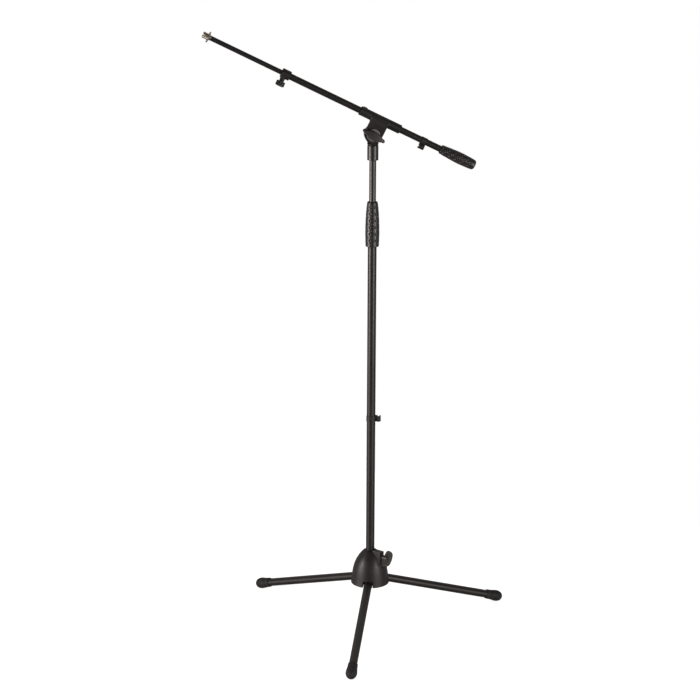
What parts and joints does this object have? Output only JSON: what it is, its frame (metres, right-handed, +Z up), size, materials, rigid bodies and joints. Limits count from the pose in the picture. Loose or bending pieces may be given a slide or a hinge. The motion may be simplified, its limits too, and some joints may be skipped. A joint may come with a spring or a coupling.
{
  "type": "boom microphone stand",
  "caption": "Boom microphone stand: bell base with folding legs and rubber feet, telescopic column with twist-grip clutch, tilting boom with telescopic front and microphone thread.",
  "frame": {"origin": "middle of the bounding box in plan, on the floor the three rubber feet stand on", "axes": "+Z up along the column, -Y the front of the stand, -X the way the boom climbs to its microphone thread, +X the way its grip hangs"},
  "size_m": [0.7691, 0.6167, 1.5424],
  "materials": {
    "tube_paint": "satin black powder coat on steel tube",
    "base_paint": "fine-textured black paint on a casting",
    "cast_metal": "black painted casting",
    "black_plastic": "black nylon with a fine grain",
    "grip_plastic": "black dimpled grip",
    "bush_plastic": "plain black acetal",
    "foot_rubber": "matt black rubber",
    "zinc_steel": "zinc-plated steel",
    "black_steel": "blackened steel",
    "washer_steel": "dull grey plated washer",
    "nickel": "nickel plate",
    "brass": "turned brass"
  },
  "bodies": {
    "base": {"base_housing": "base_paint", "base_guide_bush": "bush_plastic", "base_clamp_insert": "black_steel", "base_clamp_pad": "brass", "leg_pin_1": "zinc_steel", "leg_pin_2": "zinc_steel", "leg_pin_3": "zinc_steel"},
    "leg_1": {"leg_hinge_1": "cast_metal", "leg_tube_1": "tube_paint", "rubber_foot_1": "foot_rubber"},
    "leg_2": {"leg_hinge_2": "cast_metal", "leg_tube_2": "tube_paint", "rubber_foot_2": "foot_rubber"},
    "leg_3": {"leg_hinge_3": "cast_metal", "leg_tube_3": "tube_paint", "rubber_foot_3": "foot_rubber"},
    "base_wing": {"base_clamp_screw": "black_steel", "base_wing_knob": "black_plastic"},
    "column": {"lower_tube": "tube_paint", "lower_tube_plug": "black_plastic", "clutch_body": "cast_metal", "clutch_collet": "bush_plastic"},
    "clutch_grip": {"clutch_grip": "grip_plastic"},
    "column_clip": {"column_cable_clip": "black_plastic"},
    "upper_guide": {"upper_tube_bush": "bush_plastic"},
    "upper_column": {"upper_tube": "tube_paint", "head_socket": "tube_paint", "head_stud": "zinc_steel", "swivel_neck": "black_plastic", "friction_disc": "bush_plastic", "pivot_bolt": "zinc_steel"},
    "boom_holder": {"boom_yoke": "black_plastic", "pivot_washer": "washer_steel", "boom_lock_insert": "black_steel", "boom_lock_pad": "brass"},
    "pivot_knob": {"pivot_wing_knob": "black_plastic", "pivot_knob_insert": "brass"},
    "boom_lock": {"boom_lock_screw": "black_steel", "boom_lock_knob": "black_plastic"},
    "boom_liner": {"boom_sleeve_liner": "bush_plastic"},
    "boom_arm": {"boom_outer_tube": "tube_paint", "boom_grip": "grip_plastic", "boom_clamp_collar": "black_plastic", "boom_clamp_insert": "black_steel", "boom_clamp_pad": "brass"},
    "boom_clip": {"boom_cable_clip": "black_plastic"},
    "extension_knob": {"boom_clamp_screw": "black_steel", "boom_clamp_knob": "black_plastic"},
    "extension_guide": {"boom_inner_bush": "bush_plastic"},
    "boom_extension": {"boom_inner_tube": "tube_paint", "thread_stud": "nickel"},
    "lock_ring": {"thread_lock_ring": "nickel"}
  },
  "joints": [
    {"name": "leg_fold_1", "type": "hinge", "parent": "base", "child": "leg_1", "pos_m": [0.05822, 0.08198, 0.11946], "axis": [-0.3827, 0.9239, 0], "range_deg": [0, 72]},
    {"name": "leg_fold_2", "type": "hinge", "parent": "base", "child": "leg_2", "pos_m": [0.0067, 0.08876, 0.11946], "axis": [-0.6088, -0.7934, 0], "range_deg": [0, 72]},
    {"name": "leg_fold_3", "type": "hinge", "parent": "base", "child": "leg_3", "pos_m": [0.02658, 0.04076, 0.11946], "axis": [0.9914, -0.1305, 0], "range_deg": [0, 72]},
    {"name": "base_wing_turn", "type": "hinge", "parent": "base", "child": "base_wing", "pos_m": [0.06596, 0.04279, 0.186], "axis": [0.788, -0.6157, 0], "range_deg": [0, 270]},
    {"name": "base_slide", "type": "slide", "parent": "base", "child": "column", "axis": [0, 0, 1], "range_m": [-0.095, 0]},
    {"name": "clutch_twist", "type": "hinge", "parent": "column", "child": "clutch_grip", "pos_m": [0.0305, 0.0705, 1.06], "axis": [0, 0, 1], "range_deg": [0, 90]},
    {"name": "column_clip_slide", "type": "slide", "parent": "column", "child": "column_clip", "axis": [0, 0, 1], "range_m": [-0.24, 0.43]},
    {"name": "column_slide", "type": "slide", "parent": "column", "child": "upper_guide", "axis": [0, 0, 1], "range_m": [-0.1, 0.55]},
    {"name": "head_turn", "type": "hinge", "parent": "upper_guide", "child": "upper_column", "pos_m": [0.0305, 0.0705, 1.24], "axis": [0, 0, 1], "continuous": true},
    {"name": "boom_tilt", "type": "hinge", "parent": "upper_column", "child": "boom_holder", "pos_m": [0.0305, 0.0705, 1.2864], "axis": [-0.0872, 0.9962, 0], "range_deg": [-90, 58]},
    {"name": "pivot_knob_turn", "type": "hinge", "parent": "upper_column", "child": "pivot_knob", "pos_m": [0.03224, 0.05058, 1.2864], "axis": [0.0872, -0.9962, 0], "range_deg": [0, 270]},
    {"name": "boom_lock_turn", "type": "hinge", "parent": "boom_holder", "child": "boom_lock", "pos_m": [0.00931, 0.08672, 1.34005], "axis": [-0.0872, 0.9962, 0], "range_deg": [0, 270]},
    {"name": "boom_roll", "type": "hinge", "parent": "boom_holder", "child": "boom_liner", "pos_m": [0.04791, 0.07202, 1.3216], "axis": [-0.8923, -0.0781, 0.4446], "continuous": true},
    {"name": "boom_slide", "type": "slide", "parent": "boom_liner", "child": "boom_arm", "axis": [-0.8923, -0.0781, 0.4446], "range_m": [-0.18, 0.035]},
    {"name": "boom_clip_slide", "type": "slide", "parent": "boom_arm", "child": "boom_clip", "axis": [-0.8923, -0.0781, 0.4446], "range_m": [-0.03, 0.02]},
    {"name": "extension_knob_turn", "type": "hinge", "parent": "boom_arm", "child": "extension_knob", "pos_m": [-0.19309, 0.04574, 1.42035], "axis": [-0.4053, -0.2953, -0.8652], "range_deg": [0, 270]},
    {"name": "extension_slide", "type": "slide", "parent": "boom_arm", "child": "extension_guide", "axis": [-0.8923, -0.0781, 0.4446], "range_m": [-0.18, 0.14]},
    {"name": "extension_roll", "type": "hinge", "parent": "extension_guide", "child": "boom_extension", "pos_m": [-0.18409, 0.05173, 1.43721], "axis": [-0.8923, -0.0781, 0.4446], "continuous": true},
    {"name": "lock_ring_spin", "type": "hinge", "parent": "boom_extension", "child": "lock_ring", "pos_m": [-0.36773, 0.03566, 1.52871], "axis": [-0.8923, -0.0781, 0.4446], "continuous": true}
  ]
}
